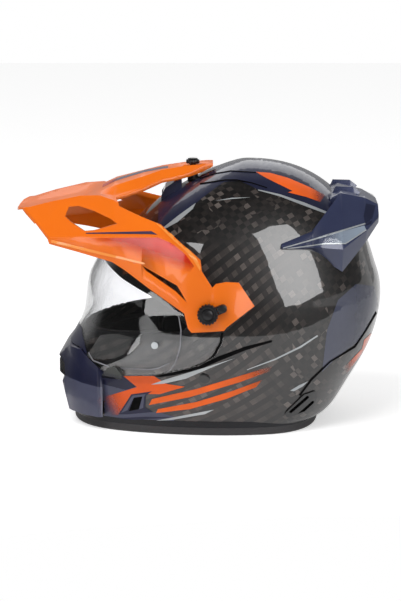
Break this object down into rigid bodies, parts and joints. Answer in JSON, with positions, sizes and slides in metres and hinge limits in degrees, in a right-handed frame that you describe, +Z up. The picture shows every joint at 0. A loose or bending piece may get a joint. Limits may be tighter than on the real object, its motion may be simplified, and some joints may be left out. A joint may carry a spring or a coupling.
{
  "type": "dual sport helmet",
  "caption": "Full-face helmet with a lifting clear shield, an adjustable peak on side knobs and a crown screw, sliding vents, rear spoiler, padded liner and a strap with rings.",
  "frame": {"origin": "bottom centre of the whole helmet's box, on the surface that it stands on", "axes": "+Z up, -X toward the helmet's front, -Y toward its left side"},
  "size_m": [0.3907, 0.2772, 0.2804],
  "materials": {
    "carbon_shell": "dark woven composite under a clear gloss coat",
    "navy_lacquer": "dark blue gloss lacquer",
    "orange_lacquer": "orange gloss lacquer",
    "black_plastic": "black moulded plastic",
    "grey_plastic": "dark grey moulded plastic",
    "black_rubber": "dark rubber edging",
    "black_foam": "black expanded foam",
    "liner_fabric": "black brushed lining fabric over foam",
    "webbing": "black woven webbing",
    "steel": "steel",
    "black_metal": "black lacquered rivet",
    "clear_shield": "clear hard-coated polycarbonate",
    "clear_lens": "clear insert",
    "clear_tab": "clear moulded tab"
  },
  "bodies": {
    "helmet": {"shell": "carbon_shell", "eyeport_gasket": "black_rubber", "base_trim": "black_rubber", "impact_liner": "black_foam", "chin_liner": "black_foam", "crown_pad": "liner_fabric", "cheek_pad_left": "liner_fabric", "cheek_pad_right": "liner_fabric", "neck_roll": "liner_fabric", "chin_guard": "navy_lacquer", "chin_grille": "black_plastic", "hub_left": "black_plastic", "hub_right": "black_plastic", "peak_boss": "black_plastic", "brow_vent_housing": "navy_lacquer", "rear_spoiler": "navy_lacquer", "neck_vents": "black_plastic", "chin_strap": "webbing", "ring_strap": "webbing", "d_rings": "steel", "strap_rivets": "black_metal"},
    "shield": {"face_shield": "clear_shield", "anti_fog_lens": "clear_lens", "lens_pins": "steel", "shield_tab": "clear_tab"},
    "chin_shutter": {"chin_vent_shutter": "black_plastic"},
    "brow_slider": {"brow_vent_slider": "black_plastic"},
    "peak_body": {"peak": "orange_lacquer"},
    "left_knob": {"knob_left": "grey_plastic"},
    "right_knob": {"knob_right": "grey_plastic"},
    "crown_knob": {"top_knob": "grey_plastic"}
  },
  "joints": [
    {"name": "shield_lift", "type": "hinge", "parent": "helmet", "child": "shield", "pos_m": [0.008, 0, 0.13499], "axis": [0, 1, 0], "range_deg": [0, 34]},
    {"name": "peak_tilt", "type": "hinge", "parent": "helmet", "child": "peak_body", "pos_m": [0.008, 0, 0.13499], "axis": [0, 1, 0], "range_deg": [-4, 2]},
    {"name": "left_knob_turn", "type": "hinge", "parent": "helmet", "child": "left_knob", "pos_m": [0.008, 0, 0.13499], "axis": [0, 1, 0], "range_deg": [0, 90]},
    {"name": "right_knob_turn", "type": "hinge", "parent": "helmet", "child": "right_knob", "pos_m": [0.008, 0, 0.13499], "axis": [0, 1, 0], "range_deg": [0, 90]},
    {"name": "crown_knob_turn", "type": "hinge", "parent": "helmet", "child": "crown_knob", "pos_m": [-0.00759, 0, 0.275], "axis": [0, 0, 1], "continuous": true},
    {"name": "chin_vent_slide", "type": "slide", "parent": "helmet", "child": "chin_shutter", "axis": [0, 0, 1], "range_m": [0, 0.009]},
    {"name": "brow_vent_slide", "type": "slide", "parent": "helmet", "child": "brow_slider", "axis": [-0.8453, 0, -0.5344], "range_m": [0, 0.008]}
  ]
}
